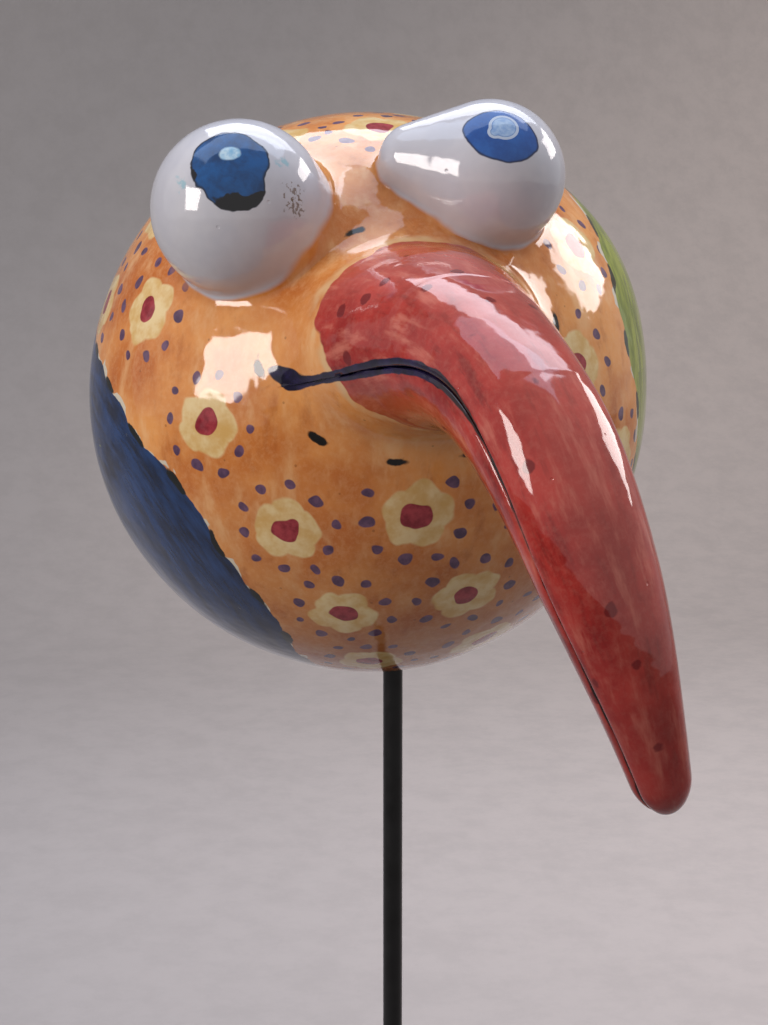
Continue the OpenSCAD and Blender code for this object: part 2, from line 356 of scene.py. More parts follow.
def oval_height(u, v, half_w, half_h, power):
    """Height above an ellipse, or above a squarer oval for a power over 2, nearly true close to it."""
    x, y = np.abs(u) / half_w + 1e-9, np.abs(v) / half_h + 1e-9
    q = (x ** power + y ** power) ** (1 / power)
    steepness = np.hypot(x ** (power - 1) / half_w, y ** (power - 1) / half_h) / q ** (power - 1)
    return (q - 1) / steepness


def beak_section(t, u, v, half_w, half_h):
    """Height above the whole beak, which ends a little way behind its root."""
    flat = step_between(t, *FLAT_STARTS) - step_between(t, *FLAT_ENDS)
    power = 2 + FLAT_TOP * flat * step_between(v / half_h, *FLAT_SIDE)
    shrink = 1 - FLAT_SHRINK * (power - 2)
    clay = oval_height(u, v, half_w * shrink, half_h * shrink, power)
    return np.maximum(clay, BEAK_START - t * SPINE_REACH)


# %% [markdown]
# The mouth is a cut along the beak. Both lips are rolled over, more so further from the head, and where the
# cut reaches the ball it closes to nothing. The lower beak is a little narrower than the upper one. Each is
# the whole beak melted onto the ball, with the other side of the cut taken away.

# %% Heights of the two beaks
ROOT_MELT = 13
LIP_ROLL, LIP_LEAST = 3.6, 0.02
LIP_STARTS, LIP_GROWS = 16, 55
LOWER_WIDTH_SHARE, LOWER_NARROWS = 0.94, (0.12, 0.4)
MOUTH_GAP = 0.25


def above_mouth(t, v, half_h):
    """Distance above the cut of the mouth."""
    return v + at_share(MOUTH_SHARES, t) * half_h


def beak_height(p, lower):
    """Height above one beak and the ball under it."""
    t, u, v, half_w, half_h = unbend(p)
    narrow = 1 - (1 - LOWER_WIDTH_SHARE) * step_between(t, *LOWER_NARROWS) if lower else 1
    over_ball = ball_height(p)
    clay = melted(over_ball, beak_section(t, u, v, half_w * narrow, half_h), ROOT_MELT)
    over = above_mouth(t, v, half_h)
    open_share = np.clip((over_ball - LIP_STARTS) / LIP_GROWS, LIP_LEAST, 1)
    cut = over + MOUTH_GAP * open_share if lower else -over
    return -melted(-clay, -cut, LIP_ROLL * open_share)


# %% [markdown]
# ## Pushing a primitive onto the clay
# Each clay piece starts as a UV sphere, which is closed and has even quads. Every vertex of it stands for a
# ray: a start inside the clay and a direction. Halving the ray again and again finds the surface. A
# Shrinkwrap modifier does the same with a target mesh, but here the target is a formula without facets.
# A shiny glaze shows the smallest kink between two faces, so each vertex gets the formula's own normal.

# %% Helpers for modelling
HALVINGS = 25
SKIRT_SINK = 0.02
UNDER = 3
PROBE = 0.05


def deselect_all():
    for o in bpy.context.selected_objects:
        o.select_set(False)


def new_sphere(name, segments, rings):
    """A unit UV sphere at the origin, alone in the selection."""
    deselect_all()
    bpy.ops.mesh.primitive_uv_sphere_add(segments=segments, ring_count=rings, radius=1)
    made = bpy.context.object
    made.name = name
    made.data.name = name
    return made


def vertex_places(piece):
    places = np.empty(len(piece.data.vertices) * 3)
    piece.data.vertices.foreach_get("co", places)
    return places.reshape(-1, 3)


def place_vertices(piece, places):
    piece.data.vertices.foreach_set("co", places.ravel())
    piece.data.update()


def find_surface(start, way, height, far):
    """The points where rays leave the clay, between their start and the far distance."""
    low, high = np.zeros(len(start)), np.full(len(start), float(far))
    for _ in range(HALVINGS):
        middle = (low + high) / 2
        inside = height(start + way * middle[:, None]) < 0
        low, high = np.where(inside, middle, low), np.where(inside, high, middle)
    return start + way * ((low + high) / 2)[:, None]


def polar(piece):
    """A sphere's vertices, their distance from its axis and how far down they are, from 0 to 1."""
    unit = vertex_places(piece)
    off_axis = np.hypot(unit[:, 0], unit[:, 1])[:, None] + 1e-9
    return unit, off_axis, np.arccos(np.clip(unit[:, 2], -1, 1)) / math.pi


def pressed_out(points):
    """What lies deep in the ball is moved out into its wall, where the real joint is luted."""
    away = length_of(points)[:, None]
    return points * np.maximum(1, (BALL_R - UNDER) / away)


def finish_mesh(piece):
    """Faces outward and smooth."""
    deselect_all()
    piece.select_set(True)
    bpy.context.view_layer.objects.active = piece
    bpy.ops.object.mode_set(mode="EDIT")
    bpy.ops.mesh.select_all(action="SELECT")
    bpy.ops.mesh.normals_make_consistent(inside=False)
    bpy.ops.object.mode_set(mode="OBJECT")
    bpy.ops.object.shade_smooth()
    piece.select_set(False)
    print(piece.name, len(piece.data.polygons), "faces")


def glaze_normals(piece, height, shown):
    """Gives the shown vertices the normals of the formula; a zero normal leaves Blender's own."""
    points = to_head(vertex_places(piece))
    steps = np.eye(3) * PROBE
    normals = np.stack([height(points + s) - height(points - s) for s in steps], -1)
    normals = normals / np.maximum(length_of(normals), 1e-9)[:, None]
    normals = leaned(normals, -HEAD_LEAN)
    normals[~shown(points)] = 0
    piece.data.normals_split_custom_set_from_vertices(normals.tolist())


# %% [markdown]
# ## The ball
# The real ball is two bowls joined at the rim, scraped smooth and glazed, with a hole for the rod's tube.
# The sphere's lower pole is turned to that hole, and the cap of faces there is deleted, which leaves a clean
# ring of edges. Solidify gives the clay its 6 mm wall, and a bevel rounds the rim as glaze does.

# %% Ball
BALL_WALL = 6
HOLE_R = 8.4
RIM_ROUND, RIM_STEPS, RIM_ANGLE = 0.7, 3, 60
BALL_FACES = (208, 150)
hole_height = -math.cos(math.asin(HOLE_R / BALL_R))
pole = -ROD_HOLE
pole_x = across_and_up(0, 0)[0] - pole[0] * pole
pole_x = pole_x / np.linalg.norm(pole_x)
POLE_AXES = np.array([pole_x, np.cross(pole, pole_x), pole])


def select_vertices(piece, chosen):
    bpy.ops.object.mode_set(mode="EDIT")
    bpy.ops.mesh.select_all(action="DESELECT")
    bpy.ops.object.mode_set(mode="OBJECT")
    piece.data.vertices.foreach_set("select", chosen)
    bpy.ops.object.mode_set(mode="EDIT")


ball = new_sphere("glazed_ball", *BALL_FACES)
select_vertices(ball, vertex_places(ball)[:, 2] < hole_height)
bpy.ops.mesh.delete(type="VERT")
bpy.ops.object.mode_set(mode="OBJECT")
unit = vertex_places(ball)
lowest_ring = unit[:, 2] < unit[:, 2].min() + 1e-4
widths = np.hypot(unit[lowest_ring, 0], unit[lowest_ring, 1])[:, None]
unit[lowest_ring, :2] *= HOLE_R / BALL_R / widths
unit[lowest_ring, 2] = hole_height
ways = unit @ POLE_AXES
place_vertices(ball, from_head(ways * ball_radius(ways)[:, None]))
print("the rim of the rod's hole has", int(lowest_ring.sum()), "points")

# %% Ball wall and rim
wall = ball.modifiers.new("wall", "SOLIDIFY")
wall.thickness = BALL_WALL * MM
wall.offset = -1
rounding = ball.modifiers.new("rim", "BEVEL")
rounding.width = RIM_ROUND * MM
rounding.segments = RIM_STEPS
rounding.limit_method = "ANGLE"
rounding.angle_limit = math.radians(RIM_ANGLE)
for modifier in ("wall", "rim"):
    bpy.ops.object.modifier_apply(modifier=modifier)
finish_mesh(ball)

# %% [markdown]
# ## The eyes
# An eye's rays start under the ball's surface on the eye's axis, so that they reach the dome, the fillet and
# the skirt of clay that runs out onto the ball. The skirt is 0.02 mm too low, so its thin edge slips under
# the ball's glaze. The last rings of the sphere close the piece inside the ball's wall, where it is luted.

# %% Eyes
EYE_DEPTH, EYE_REACH = 12, 90
EYE_FACES = (144, 112)
SKIRT_END = 0.88
SKIRT_ANGLES = np.radians(np.linspace(12, 52, 120))
SKIRT_SPARE = math.radians(0.4)


def skirt_edge(sideways, out, height):
    """How far from the axis, in radians round the ball, the clay still stands above the ball."""
    edge = np.full(len(sideways), SKIRT_ANGLES[0])
    for angle in SKIRT_ANGLES:
        way = math.cos(angle) * out + math.sin(angle) * sideways
        edge = np.where(height(way * ball_radius(way)[:, None]) < -SKIRT_SINK / 2, angle, edge)
    return (edge + SKIRT_SPARE)[:, None]


def wrap_eye(name):
    """A sphere laid on the clay round an eye's axis, down to the skirt's edge and closed in the wall."""
    piece = new_sphere("glazed_" + name, *EYE_FACES)
    right, up, out = eye_frame(EYES[name])[1:]
    unit, off_axis, down = polar(piece)
    sideways = (unit[:, :1] * right + unit[:, 1:2] * up) / off_axis
    down = down[:, None]
    edge = skirt_edge(sideways, out, lambda p: eye_with_ball(p, name))
    start = np.tile(out * (BALL_R - EYE_DEPTH), (len(unit), 1))
    edge_way = BALL_R * (np.cos(edge) * out + np.sin(edge) * sideways) - start
    widest = np.arctan2((edge_way * sideways).sum(-1), edge_way @ out)[:, None]
    angle = widest * np.minimum(down / SKIRT_END, 1)
    way = np.cos(angle) * out + np.sin(angle) * sideways
    outside = find_surface(start, way, lambda p: eye_with_ball(p, name) + SKIRT_SINK, EYE_REACH)
    back = edge * np.clip((1 - down) / (1 - SKIRT_END), 0, 1)
    under = (BALL_R - UNDER) * (np.cos(back) * out + np.sin(back) * sideways)
    place_vertices(piece, from_head(np.where(down <= SKIRT_END, outside, under)))
    finish_mesh(piece)
    return piece


eyes = {name: wrap_eye(name) for name in EYES}

# %% [markdown]
# ## The beak
# A beak's sphere is pulled out along the spine: its upper pole is the tip, its rings are the beak's sections
# and its lower pole ends inside the ball. The rays of one ring lie in one section, and those of the first
# sections reach far enough over the ball to carry the fillet.

# %% Beaks
SKIRT_T = -0.06
TIP_SHARE = 0.1
BEAK_REACH = 80
UPPER_FACES, LOWER_FACES = (168, 190), (144, 170)


def along_beak(down):
    """t for each ring, from the tip down: a round dome first, then even steps to the skirt's edge."""
    pull = np.clip(down / SKIRT_END, 0, 1)
    dome = 1 - DOME * (1 - np.cos(np.minimum(pull / TIP_SHARE, 1) * math.pi / 2))
    rest = 1 - DOME + (SKIRT_T - 1 + DOME) * (pull - TIP_SHARE) / (1 - TIP_SHARE)
    return np.where(pull < TIP_SHARE, dome, rest)


def wrap_beak(name, lower, faces):
    """A sphere pulled along the spine onto one beak, with its far end closed in the ball's wall."""
    piece = new_sphere(name, *faces)
    unit, off_axis, down = polar(piece)
    t = along_beak(down)
    side, top, _, half_h = section(t)
    mouth = -at_share(MOUTH_SHARES, t) * half_h
    middle = (mouth + np.where(lower, -half_h, half_h)) / 2
    start = spine(t) + top * middle[:, None]
    way = (unit[:, :1] * side + unit[:, 1:2] * top) / off_axis
    outside = find_surface(start, way, lambda p: beak_height(p, lower) + SKIRT_SINK, BEAK_REACH)
    back = np.clip((down - SKIRT_END) / (1 - SKIRT_END), 0, 1)[:, None]
    place_vertices(piece, from_head(pressed_out(outside + (start - outside) * back)))
    finish_mesh(piece)
    return piece


upper_beak = wrap_beak("glazed_upper_beak", False, UPPER_FACES)
lower_beak = wrap_beak("glazed_lower_beak", True, LOWER_FACES)

# %% [markdown]
# ## Normals
# The ball's glaze has the normals of the whole melted form, so at each skirt it has the same slope as the
# piece that rises from it and the reflections run on unbroken. The beaks have them too, up to where the
# lips open.

# %% Normals
RIM_ZONE = 7.5
NEARLY = 0.1


def whole_height(p):
    eyes_too = np.minimum(eye_with_ball(p, "large_eye"), eye_with_ball(p, "small_eye"))
    return np.minimum(eyes_too, melted(ball_height(p), beak_section(*unbend(p)), ROOT_MELT))


def beak_with_ball(p, lower):
    """Height above a beak, or above the whole melted form where the lips are still closed."""
    return np.where(ball_height(p) < LIP_STARTS, whole_height(p), beak_height(p, lower))


def in_sight(p):
    return length_of(p) > BALL_R - UNDER + NEARLY


def on_ball(p):
    away = length_of(p)
    outside = np.abs(away - ball_radius(p / away[:, None])) < NEARLY
    return outside & (angle_between(p / away[:, None], ROD_HOLE) > RIM_ZONE)


glaze_normals(ball, whole_height, on_ball)
for name, piece in eyes.items():
    glaze_normals(piece, lambda p, n=name: eye_with_ball(p, n), in_sight)
glaze_normals(upper_beak, lambda p: beak_with_ball(p, False), in_sight)
glaze_normals(lower_beak, lambda p: beak_with_ball(p, True), in_sight)

# %% [markdown]
# ## Where the brush went
# The decoration was painted on the raw glaze, before the last firing. A brush follows the form: the red
# keeps to the beak, the white to the eyes, and the mouth line to the cut. So an attribute tells every vertex
# how many millimetres it is from those edges, and the material draws a crisp edge where that passes zero.
# Painting by face would give steps as large as the faces.

# %% Distances to the painted edges
RED_START, RED_START_TURN = 0.125, 0.048
SPINE_SPEED = 235
WHITE_OVER_BALL = 1.1


def brush_places(p):
    """What the painting needs at each point.

    brush: distances to the edges of the red and of the white, and above the middle of the mouth line.
    unbent: across the beak, up from its spine and along it, in millimetres.
    root: how far the point is from the beak's own clay.
    """
    t, u, v, half_w, half_h = unbend(p)
    around = v / half_h / np.maximum(np.hypot(u / half_w, v / half_h), 1e-6)
    red = (RED_START - RED_START_TURN * around - t) * SPINE_SPEED
    white = np.minimum(eye_height(p, "large_eye"), eye_height(p, "small_eye")) - WHITE_OVER_BALL
    return {
        "brush": np.stack([red, white, above_mouth(t, v, half_h)], -1),
        "unbent": np.stack([u, v, t * SPINE_REACH], -1),
        "root": beak_section(t, u, v, half_w, half_h),
    }


# %% [markdown]
# A motif that lies on a ball is drawn in flat millimetres round its own middle, measured along the surface.
# The irises sit high on the eyes, which makes the bird look up. A cobalt field covers the left side of the
# ball and a green one the right side.

# %% Flat places round a middle
IRISES = {"large_eye": (-13, 32.5), "small_eye": (0.5, 36)}
FIELDS = {
    "cobalt": {"turn": -98, "rise": -26, "reach": 68, "lobes": 19},
    "green": {"turn": 97, "rise": 0, "reach": 65, "lobes": 19},
}


def flat_round(way, middle, right, up, radius):
    """Millimetres to the right of a middle and up from it, measured along a ball of that radius."""
    x, y = (way * right).sum(-1), (way * up).sum(-1)
    angle = np.arccos(np.clip((way * middle).sum(-1), -1, 1))
    reach = angle * radius / np.maximum(np.hypot(x, y), 1e-9)
    return np.stack([x * reach, y * reach, np.zeros(len(x))], -1)


def flat_facing(away, turn, rise, radius):
    """The same round the middle at a turn and a rise, for places measured from a ball's centre."""
    way = away / length_of(away)[:, None]
    return flat_round(way, direction(turn, rise), *across_and_up(turn, rise), radius)


# %% [markdown]
# ## Blossoms
# The ball is sprinkled with blossoms in staggered rows, as on folk pottery: five round cream petals, a
# crimson heart, and a ring of purple dots. Rows of equal spacing need fewer blossoms near the ball's poles.
# A blossom is left out where the beak, an eye, a colour field or the rod's hole is. Each face gets flat
# places round its nearest blossom, kept per corner, so that two blossoms never mix within a face.

# %% Blossom places
BLOSSOM_SPACING = 37
BLOSSOM_ROOM, ROOT_ROOM = 10, 13
HOLE_ROOM = 20
ROW_START, ROW_TURN = -58, 20
SEED, SIZES = 7, (0.93, 1.04)


def blossom_places():
    """The blossoms' directions, row by row from the hole upwards."""
    found = []
    row_step = math.degrees(BLOSSOM_SPACING * math.sqrt(0.75) / BALL_R)
    for row in range(round((90 - ROW_START) / row_step)):
        rise = ROW_START + row * row_step
        around = 2 * math.pi * BALL_R * math.cos(math.radians(rise))
        count = max(1, round(around / BLOSSOM_SPACING))
        for i in range(count):
            found.append(direction(ROW_TURN + (i + row % 2 / 2) * 360 / count, rise))
    return np.array(found)


def has_room(n):
    """True where a blossom fits."""
    marks = brush_places(n * BALL_R)
    room = (marks["root"] > ROOT_ROOM) & (marks["brush"][:, 1] > BLOSSOM_ROOM)
    room &= angle_between(n, ROD_HOLE) > HOLE_ROOM
    for f in FIELDS.values():
        reach = math.degrees((f["reach"] + BLOSSOM_ROOM) / BALL_R)
        room &= angle_between(n, direction(f["turn"], f["rise"])) > reach
    return room


blossoms = blossom_places()
blossoms = blossoms[has_room(blossoms)]
rng = np.random.default_rng(SEED)
blossom_spin = rng.uniform(0, 2 * math.pi, len(blossoms))
blossom_size = rng.uniform(*SIZES, len(blossoms))
print(len(blossoms), "blossoms")


def blossom_flats(points, face_of_corner, face_middles):
    """Flat millimetres round the nearest blossom for each corner."""
    nearest = (face_middles @ blossoms.T).argmax(1)[face_of_corner]
    middle = blossoms[nearest]
    up = np.array([0, 0, 1.0]) - middle[:, 2:] * middle
    up = up / length_of(up)[:, None]
    right = np.cross(up, middle)
    c, s = np.cos(blossom_spin[nearest])[:, None], np.sin(blossom_spin[nearest])[:, None]
    way = points / length_of(points)[:, None]
    radius = BALL_R / blossom_size[nearest]
    return flat_round(way, middle, right * c - up * s, right * s + up * c, radius)


# %% Attributes on the pieces
def store(mesh, name, values, domain="POINT"):
    """Keeps a number or a vector for each vertex or corner."""
    kind, field = ("FLOAT_VECTOR", "vector") if values.ndim == 2 else ("FLOAT", "value")
    mesh.attributes.new(name, kind, domain).data.foreach_set(field, values.ravel())


def read_all(items, field, kind=float, wide=1):
    """One field of all the items of a mesh."""
    found = np.empty(len(items) * wide, kind)
    items.foreach_get(field, found)
    return found


def store_paint(piece):
    """Gives a clay piece everything that its painting is drawn from."""
    mesh = piece.data
    points = to_head(vertex_places(piece))
    for name, values in brush_places(points).items():
        store(mesh, name, values)
    for name, eye in EYES.items():
        away = points - eye_frame(eye)[0]
        store(mesh, name, flat_facing(away, *IRISES[name], eye["r"]))
    for name, f in FIELDS.items():
        store(mesh, name, flat_facing(points, f["turn"], f["rise"], BALL_R))
    corners = read_all(mesh.loops, "vertex_index", int)
    sizes = read_all(mesh.polygons, "loop_total", int)
    middles = to_head(read_all(mesh.polygons, "center", wide=3).reshape(-1, 3))
    middles = middles / length_of(middles)[:, None]
    face_of_corner = np.repeat(np.arange(len(sizes)), sizes)
    store(mesh, "blossom", blossom_flats(points[corners], face_of_corner, middles), "CORNER")


for piece in (ball, *eyes.values(), upper_beak, lower_beak):
    store_paint(piece)

# %% [markdown]
# ## Materials
# Colours are written as they look on a screen and turned to linear light. One helper adds a node with its
# settings and links, and the others are patterns that several finishes share. A pattern's size is a real one:
# Blender's textures repeat once in 1/scale metres, so `sized` gives the scale for a size in millimetres.
# A mottled paint is written as a size and two tones, and a wobble as a size and an amount.

# %% Material helpers
NOISE = (0.3, 0.7)  # the range that a noise texture seldom leaves


def linear(code):
    """A hex colour as linear RGBA."""
    parts = [int(code[i:i + 2], 16) / 255 for i in (1, 3, 5)]
    return tuple(c / 12.92 if c <= 0.04045 else ((c + 0.055) / 1.055) ** 2.4 for c in parts) + (1.0,)


def add(tree, kind, inputs=(), out=0, **settings):
    """Adds a node, whose kind may name its operation too, and gives its output, or several for a tuple.

    An input is a number, a vector, a hex colour or another node's output.
    """
    kind, _, operation = kind.partition(" ")
    made = tree.nodes.new(kind if "Node" in kind else "ShaderNode" + kind)
    if operation:
        made.operation = operation
    for name, value in settings.items():
        setattr(made, name, value)
    for key, value in inputs.items() if isinstance(inputs, dict) else enumerate(inputs):
        if isinstance(value, bpy.types.NodeSocket):
            tree.links.new(value, made.inputs[key])
        else:
            made.inputs[key].default_value = linear(value) if isinstance(value, str) else value
    if not made.outputs:
        return made
    return [made.outputs[key] for key in out] if isinstance(out, tuple) else made.outputs[out]


def sized(place, size, **others):
    """The inputs of a texture whose pattern has a size in millimetres."""
    return {"Vector": place, "Scale": 1 / (size * MM), **others}


def laid_over(tree, below, colour, value, low, high, share=1.0):
    """Lays a colour over another, more and more as a value goes from low to high."""
    cover = add(tree, "MapRange", (value, low, high, 0.0, share), interpolation_type="SMOOTHSTEP")
    return add(tree, "Mix", {0: cover, 6: below, 7: colour}, out=2, data_type="RGBA")


def layered(tree, colour, values, layers):
    """Lays tones over a colour, each with its value's name, start and full value, and share."""
    for tone, name, start, full, share in layers:
        colour = laid_over(tree, colour, tone, values[name], start, full, share)
    return colour


def mottled(tree, place, size, dark, bright, detail=3.0, rough=0.6):
    """Two tones in soft patches of a size in millimetres."""
    patches = add(tree, "TexNoise", sized(place, size, Detail=detail, Roughness=rough))
    return laid_over(tree, dark, bright, patches, *NOISE)


def wavering(tree, distance, place, size, amount):
    """A distance with the wobble of a hand, up to an amount in millimetres each way."""
    wobble = add(tree, "TexNoise", sized(place, size, Detail=2.0))
    wobble = add(tree, "MapRange", (wobble, *NOISE, -amount, amount))
    return add(tree, "Math ADD", (distance, wobble))


def spot_distance(tree, flat, middle, radius, wide=1.0):
    """The distance to the edge of a round spot in flat places, or of one that is wider than high."""
    if wide != 1:
        flat = add(tree, "VectorMath MULTIPLY", (flat, (1 / wide, 1, 1)))
    away = add(tree, "VectorMath DISTANCE", (flat, (middle[0] / wide, middle[1], 0)), out="Value")
    return add(tree, "Math SUBTRACT", (away, radius))


def painted(tree, below, colour, distance, soft=0.2):
    """Paints where the distance is negative, with an edge as soft as fired glaze."""
    return laid_over(tree, below, colour, distance, soft, -soft)


def stored(tree, name):
    """A vector that was stored on the pieces, and its three numbers."""
    vector = add(tree, "Attribute", out="Vector", attribute_name=name)
    return vector, *add(tree, "SeparateXYZ", (vector,), out=(0, 1, 2))


# %% [markdown]
# ### The orange ground
# The ground is an opaque orange majolica glaze, put on with a wide soft brush in two coats. Where the coats
# overlap it is browner, and where it is thin it turns to peach. Low on the ball it is painted darker and
# browner, which is painted shade.
# Specks of iron are in it, and a fine grain that the camera just resolves.

# %% Orange ground
BRUSH_WAY = {"Rotation": (0.5, 0.3, 0.6), "Scale": (1, 1, 0.35)}
ORANGE = (30, "#C87030", "#EFA45C")
ORANGE_LAYERS = (
    ("#F6C48C", "strokes", 0.5, 0.74, 0.6),
    ("#B05A20", "strokes", 0.47, 0.26, 0.6),
    # painted shade: the ground is painted darker and browner towards the bottom of the ball
    ("#A4561F", "height", (BALL_CENTRE[2] - 10) * MM, (BALL_CENTRE[2] - 75) * MM, 0.6),
    ("#F2C690", "grain", 0.4, 0.7, 0.16),
    ("#6E3412", "specks", 0.075, 0.04, 0.4),
)


def orange_ground(tree, place):
    """The brushed orange of the ball."""
    brushed = add(tree, "Mapping", {"Vector": place, **BRUSH_WAY})
    values = {
        "strokes": add(tree, "TexNoise", sized(brushed, 8, Detail=4, Roughness=0.6)),
        "height": add(tree, "SeparateXYZ", (place,), out=2),
        "grain": add(tree, "TexNoise", sized(place, 1.8, Detail=3, Roughness=0.7)),
        "specks": add(tree, "TexVoronoi", sized(place, 7)),
    }
    return layered(tree, mottled(tree, place, *ORANGE), values, ORANGE_LAYERS)


# %% [markdown]
# ### Blossoms
# The angle round a blossom is folded like a paper star, so a petal or a dot that is drawn once shows five
# times. Petals and dots are then plain round spots. Dots shrink to nothing close to the beak, where the
# painter's brush had no room.

# %% Blossoms
PETALS = 5
PETAL_OUT, PETAL_R, PETAL_MELT, PETAL_SOFT = 4.9, 5.3, 1.5, 0.5
INNER_R, HEART_R = PETAL_OUT + 0.55 * PETAL_R, 3.9
DOTS = {"gap": (math.pi / PETALS, 13.6, 1.85), "tip": (0, 14.7, 1.5)}
DOT_ROOM, DOT_FULL, DOT_SHRINK = 9.0, 12.0, 2.3
CREAM, CRIMSON = (6, "#DDB169", "#F0D6A0"), (3, "#86202C", "#B04048")
PURPLE = (4, "#513A55", "#785873")
BLOSSOM_WOBBLE, BLOSSOM_PUSH = 7, 4.0


def blossom_marks(tree, ground, place):
    """Cream petals, a crimson heart and purple dots over the ground."""
    wobble = add(tree, "TexNoise", sized(place, BLOSSOM_WOBBLE, Detail=1), out="Color")
    wobble = add(tree, "VectorMath SUBTRACT", (wobble, (0.5, 0.5, 0.5)))
    flat = add(tree, "Attribute", out="Vector", attribute_name="blossom")
    flat = add(tree, "VectorMath MULTIPLY_ADD", (wobble, (BLOSSOM_PUSH, BLOSSOM_PUSH, 0), flat))
    x, y = add(tree, "SeparateXYZ", (flat,), out=(0, 1))
    away = add(tree, "VectorMath LENGTH", (flat,), out="Value")
    folded = add(tree, "Math PINGPONG", (add(tree, "Math ARCTAN2", (y, x)), math.pi / PETALS))
    turned = [add(tree, kind, (folded,)) for kind in ("Math COSINE", "Math SINE")]
    star = add(tree, "CombineXYZ", [add(tree, "Math MULTIPLY", (away, part)) for part in turned])
    petal = spot_distance(tree, star, (PETAL_OUT, 0), PETAL_R)
    middle = spot_distance(tree, flat, (0, 0), INNER_R)
    petals = add(tree, "Math SMOOTH_MIN", (petal, middle, PETAL_MELT))
    colour = painted(tree, ground, mottled(tree, place, *CREAM), petals, PETAL_SOFT)
    heart = spot_distance(tree, flat, (0, 0), HEART_R)
    colour = painted(tree, colour, mottled(tree, place, *CRIMSON), heart)
    purple = mottled(tree, place, *PURPLE)
    root = add(tree, "Attribute", out="Fac", attribute_name="root")
    shrink = add(tree, "MapRange", (root, DOT_ROOM, DOT_FULL, DOT_SHRINK, 0.0))
    for turn, out, size in DOTS.values():
        dot = spot_distance(tree, star, (out * math.cos(turn), out * math.sin(turn)), size)
        colour = painted(tree, colour, purple, add(tree, "Math ADD", (dot, shrink)))
    return colour


# %% [markdown]
# ### Colour fields
# One side of the ball carries a cobalt field and the other a green one. Their edges swell a little between
# dark dashes, and a pale line shows where the wax kept the glaze off. The paint was stroked round the field.

# %% Colour fields
SWELL = 1.5
DASH_LONG, DASH_HIGH, DASH_BEYOND = 4.4, 1.35, 0.6
FIELD_WOBBLE, EDGE_WOBBLE, DASH_WOBBLE = (40, 4.5), (6, 0.5), (4, 0.35)
WAX_LINE, WAX_SIZE, WAX_WIDTHS = "#D9D0BC", 10, (0.4, 0.52, 2.2, -0.5)
STREAK_TURN, STREAK_SIZE, LOWER_SHADE_SHARE = 0.012, 4, 0.7
FIELD_PAINT = {"cobalt": ("#0A1830", "#1F4276", "#121713"), "green": ("#66782C", "#A5B04C", "#232B17")}


def field_marks(tree, ground, place, name):
    """A field of streaky colour with its pale line and dark dashes."""
    dark, bright, dash_colour = FIELD_PAINT[name]
    reach, lobe = FIELDS[name]["reach"], math.pi / FIELDS[name]["lobes"]
    arc = BALL_R * math.sin(reach / BALL_R) * lobe
    flat, x, y, _ = stored(tree, name)
    away = add(tree, "VectorMath LENGTH", (flat,), out="Value")
    angle = add(tree, "Math ARCTAN2", (y, x))
    over = wavering(tree, add(tree, "Math SUBTRACT", (away, reach)), place, *FIELD_WOBBLE)
    notch = add(tree, "Math MULTIPLY", (add(tree, "Math PINGPONG", (angle, lobe)), arc / lobe))
    swell = add(tree, "MapRange", (notch, 0.0, arc, 0.0, SWELL), interpolation_type="SMOOTHSTEP")
    edge = wavering(tree, add(tree, "Math SUBTRACT", (over, swell)), place, *EDGE_WOBBLE)
    streaks = [add(tree, "Math MULTIPLY", pair) for pair in ((away, MM), (angle, STREAK_TURN))]
    colour = mottled(tree, add(tree, "CombineXYZ", streaks), STREAK_SIZE, dark, bright, 4.0, 0.65)
    # painted shade: each field is painted darker towards its lower side
    colour = laid_over(tree, colour, dark, y, 0.0, -reach, LOWER_SHADE_SHARE)
    gone = add(tree, "MapRange", (add(tree, "TexNoise", sized(place, WAX_SIZE)), *WAX_WIDTHS))
    line = add(tree, "Math SUBTRACT", (edge, gone))
    colour = painted(tree, painted(tree, ground, WAX_LINE, line), colour, edge)
    dash = add(tree, "CombineXYZ", (notch, over))
    dash = spot_distance(tree, dash, (0, DASH_BEYOND), DASH_HIGH, DASH_LONG / DASH_HIGH)
    return painted(tree, colour, dash_colour, wavering(tree, dash, place, *DASH_WOBBLE))


# %% [markdown]
# ### Eyes
# The white is a tin glaze, thick and slightly blue. Towards the orange it turns a darker lilac, partly where
# the white is thin and partly as painted shade in the crease. The irises are cobalt under it. The large one
# was a round spot that ran down a little, with a black lower edge.
# The small one is an almond, which is where two circles overlap. Both have a spot of light left in pale blue.
# The large eye also has two pale blue stains, and kiln dirt that came through the white in brown specks.

# %% Large iris
RIM_WIDTH = 0.5
STAIN = ("#6FB9C8", ((15.4, 1.6), (-14.2, -0.6)), 1.4, (2, 1.6), (0.9, -0.8, 0.55))
DIRT = ("#6A5138", ((18.0, -7.6), (18.6, -11.6)), 1.9, (1.1, 3.2), (0.2, -1.6, 0.75))
LARGE_SPOTS, SPOT_MELT, LARGE_WOBBLE = (((0, 1.9), 10.4, 1.05), ((1.2, -4.4), 8.4)), 1.0, (5, 0.55)
LARGE_RIM, LARGE_BLUE = "#0D2038", (6, "#083868", "#0E5696", 4.0, 0.65)
BELOW, BELOW_HEIGHT, BELOW_WOBBLE = "#0B0B10", -8.6, (5, 1.6)
SIDE, SIDE_SPOT, SIDE_WOBBLE = "#0D0F16", ((-10.6, 0.4), 2.2), (3, 0.8)
LARGE_GLINT, GLINT_SPOT, GLINT_WOBBLE = (2, "#86B8DA", "#C3DDEC"), ((0.7, 4.2), 2.1, 1.5), (4, 0.3)
SOFT, SOFT_BLUE = 0.3, 0.35


def iris_paint(tree, below, place, iris, rim, blue, soft):
    """Mottled blue with a narrow dark rim."""
    inside = add(tree, "Math ADD", (iris, RIM_WIDTH))
    return painted(tree, painted(tree, below, rim, iris), mottled(tree, place, *blue), inside, soft)


